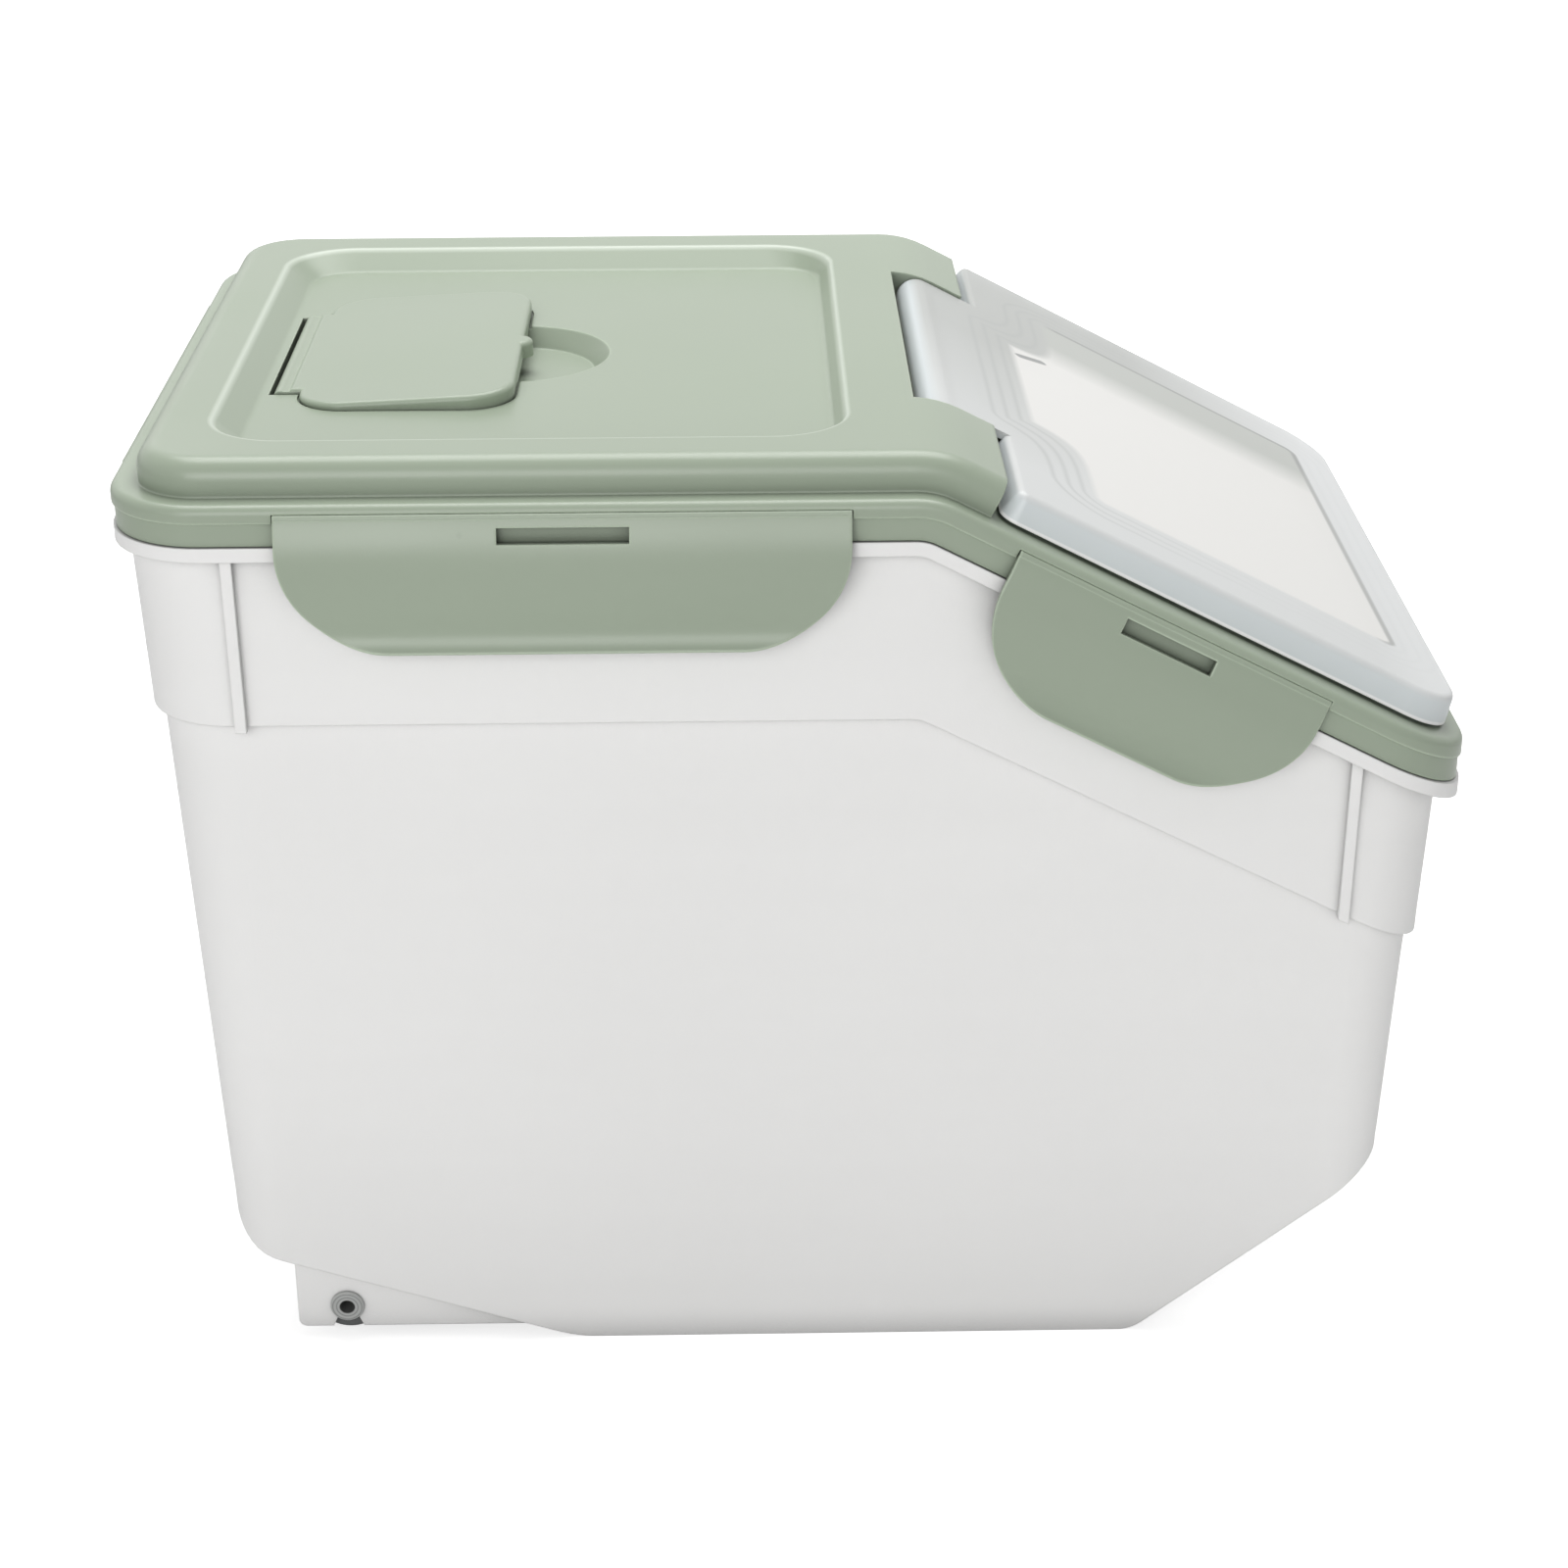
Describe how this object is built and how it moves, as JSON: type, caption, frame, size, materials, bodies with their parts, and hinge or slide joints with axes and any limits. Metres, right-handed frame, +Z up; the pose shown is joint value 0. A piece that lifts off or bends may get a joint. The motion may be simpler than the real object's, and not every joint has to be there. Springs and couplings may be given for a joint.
{
  "type": "pet food bucket",
  "caption": "Wheeled pet food bucket with a drafted tub, a bent snap lid with hinged latches, a translucent flip lid over the pouring mouth and a hatch over a moisture box",
  "frame": {"origin": "on the floor under the middle of the lid's length and width, in the tub's flat base", "axes": "+Z up, +X to the front, where the lid slopes down to the pouring mouth, +Y to the left side"},
  "size_m": [0.3952, 0.2704, 0.2987],
  "materials": {
    "white_plastic": "satin moulded white plastic",
    "green_plastic": "satin moulded pale grey-green plastic",
    "frosted_plastic": "frosted translucent plastic",
    "grey_plastic": "matte mid grey plastic",
    "light_grey_plastic": "matte light grey plastic",
    "seal_rubber": "soft pale silicone"
  },
  "bodies": {
    "tub": {"tub": "white_plastic", "axle_left": "light_grey_plastic", "axle_right": "light_grey_plastic"},
    "wheel_left": {"wheel_left": "grey_plastic"},
    "wheel_right": {"wheel_right": "grey_plastic"},
    "lid": {"lid_frame": "green_plastic", "lid_gasket": "seal_rubber"},
    "flip_lid": {"flip_lid": "frosted_plastic", "flip_gasket": "seal_rubber"},
    "hatch_door": {"hatch_door": "green_plastic"},
    "side_latch_rear_left": {"side_latch_rear_left": "green_plastic"},
    "side_latch_rear_right": {"side_latch_rear_right": "green_plastic"},
    "side_latch_front_left": {"side_latch_front_left": "green_plastic"},
    "side_latch_front_right": {"side_latch_front_right": "green_plastic"},
    "rear_latch": {"rear_latch": "green_plastic"}
  },
  "joints": [
    {"name": "lid_lift", "type": "slide", "parent": "tub", "child": "lid", "axis": [0, 0, 1], "range_m": [0, 0.1]},
    {"name": "flip_lid_hinge", "type": "hinge", "parent": "lid", "child": "flip_lid", "pos_m": [0.04176, 0, 0.28985], "axis": [0, -1, 0], "range_deg": [0, 122]},
    {"name": "hatch_hinge", "type": "hinge", "parent": "lid", "child": "hatch_door", "pos_m": [-0.155, 0, 0.2906], "axis": [0, -1, 0], "range_deg": [0, 95]},
    {"name": "wheel_left_spin", "type": "hinge", "parent": "tub", "child": "wheel_left", "pos_m": [-0.1452, 0.0953, 0.0117], "axis": [0, 1, 0], "continuous": true},
    {"name": "wheel_right_spin", "type": "hinge", "parent": "tub", "child": "wheel_right", "pos_m": [-0.1452, -0.0953, 0.0117], "axis": [0, 1, 0], "continuous": true},
    {"name": "side_latch_rear_left_hinge", "type": "hinge", "parent": "lid", "child": "side_latch_rear_left", "pos_m": [-0.0662, 0.13, 0.2847], "axis": [1, 0, 0], "range_deg": [0, 105]},
    {"name": "side_latch_rear_right_hinge", "type": "hinge", "parent": "lid", "child": "side_latch_rear_right", "pos_m": [-0.0662, -0.13, 0.2847], "axis": [-1, 0, 0], "range_deg": [0, 105]},
    {"name": "side_latch_front_left_hinge", "type": "hinge", "parent": "lid", "child": "side_latch_front_left", "pos_m": [0.10493, 0.13, 0.24919], "axis": [0.887, 0, -0.4617], "range_deg": [0, 105]},
    {"name": "side_latch_front_right_hinge", "type": "hinge", "parent": "lid", "child": "side_latch_front_right", "pos_m": [0.10493, -0.13, 0.24919], "axis": [-0.887, 0, 0.4617], "range_deg": [0, 105]},
    {"name": "rear_latch_hinge", "type": "hinge", "parent": "lid", "child": "rear_latch", "pos_m": [-0.195, 0, 0.2847], "axis": [0, 1, 0], "range_deg": [0, 105]}
  ]
}
